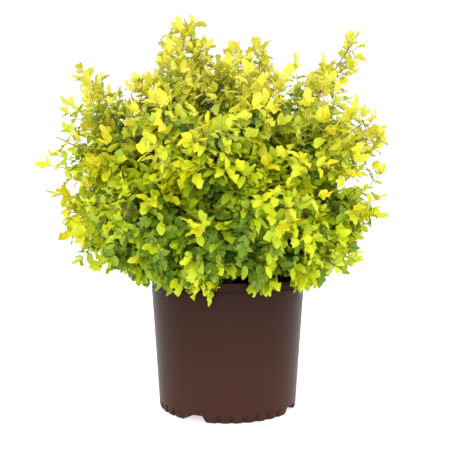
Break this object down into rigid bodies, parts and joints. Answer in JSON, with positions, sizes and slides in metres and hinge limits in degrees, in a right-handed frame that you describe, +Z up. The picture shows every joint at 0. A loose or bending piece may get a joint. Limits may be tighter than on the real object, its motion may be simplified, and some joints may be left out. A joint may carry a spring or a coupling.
{
  "type": "potted chinese privet",
  "caption": "Dense rounded shrub of small golden-green leaves on thin boughs, in a tapered round nursery pot with drain arches in its foot.",
  "frame": {"origin": "centre of the pot's flat underside, which stands on the ground", "axes": "+Z up along the pot's axis and the trunk; -Y is the side seen in front; +X to the right seen from the front"},
  "size_m": [0.5804, 0.5551, 0.6755],
  "materials": {
    "pot_plastic": "matte brown moulded plastic",
    "growing_mix": "damp shredded bark growing mix",
    "bark": "smooth young grey-brown bark",
    "leaves": "thin glossy golden-green leaves"
  },
  "bodies": {
    "root": {"bough_flank_1": "bark", "bough_flank_2": "bark", "bough_flank_3": "bark", "bough_flank_4": "bark", "bough_flank_5": "bark", "bough_flank_6": "bark", "bough_flank_7": "bark", "bough_lower_1": "bark", "bough_lower_2": "bark", "bough_lower_3": "bark", "bough_lower_4": "bark", "bough_lower_5": "bark", "bough_lower_6": "bark", "bough_shoulder_1": "bark", "bough_shoulder_2": "bark", "bough_shoulder_3": "bark", "bough_shoulder_4": "bark", "bough_shoulder_5": "bark", "bough_shoulder_6": "bark", "bough_skirt_1": "bark", "bough_skirt_2": "bark", "bough_skirt_3": "bark", "bough_skirt_4": "bark", "bough_skirt_5": "bark", "bough_skirt_6": "bark", "bough_upper_1": "bark", "bough_upper_2": "bark", "bough_upper_3": "bark", "foliage_flank_1": "leaves", "foliage_flank_2": "leaves", "foliage_flank_3": "leaves", "foliage_flank_4": "leaves", "foliage_flank_5": "leaves", "foliage_flank_6": "leaves", "foliage_flank_7": "leaves", "foliage_lower_1": "leaves", "foliage_lower_2": "leaves", "foliage_lower_3": "leaves", "foliage_lower_4": "leaves", "foliage_lower_5": "leaves", "foliage_lower_6": "leaves", "foliage_shoulder_1": "leaves", "foliage_shoulder_2": "leaves", "foliage_shoulder_3": "leaves", "foliage_shoulder_4": "leaves", "foliage_shoulder_5": "leaves", "foliage_shoulder_6": "leaves", "foliage_skirt_1": "leaves", "foliage_skirt_2": "leaves", "foliage_skirt_3": "leaves", "foliage_skirt_4": "leaves", "foliage_skirt_5": "leaves", "foliage_skirt_6": "leaves", "foliage_top": "leaves", "foliage_upper_1": "leaves", "foliage_upper_2": "leaves", "foliage_upper_3": "leaves", "growing_mix": "growing_mix", "pot": "pot_plastic", "trunk": "bark"}
  },
  "joints": []
}
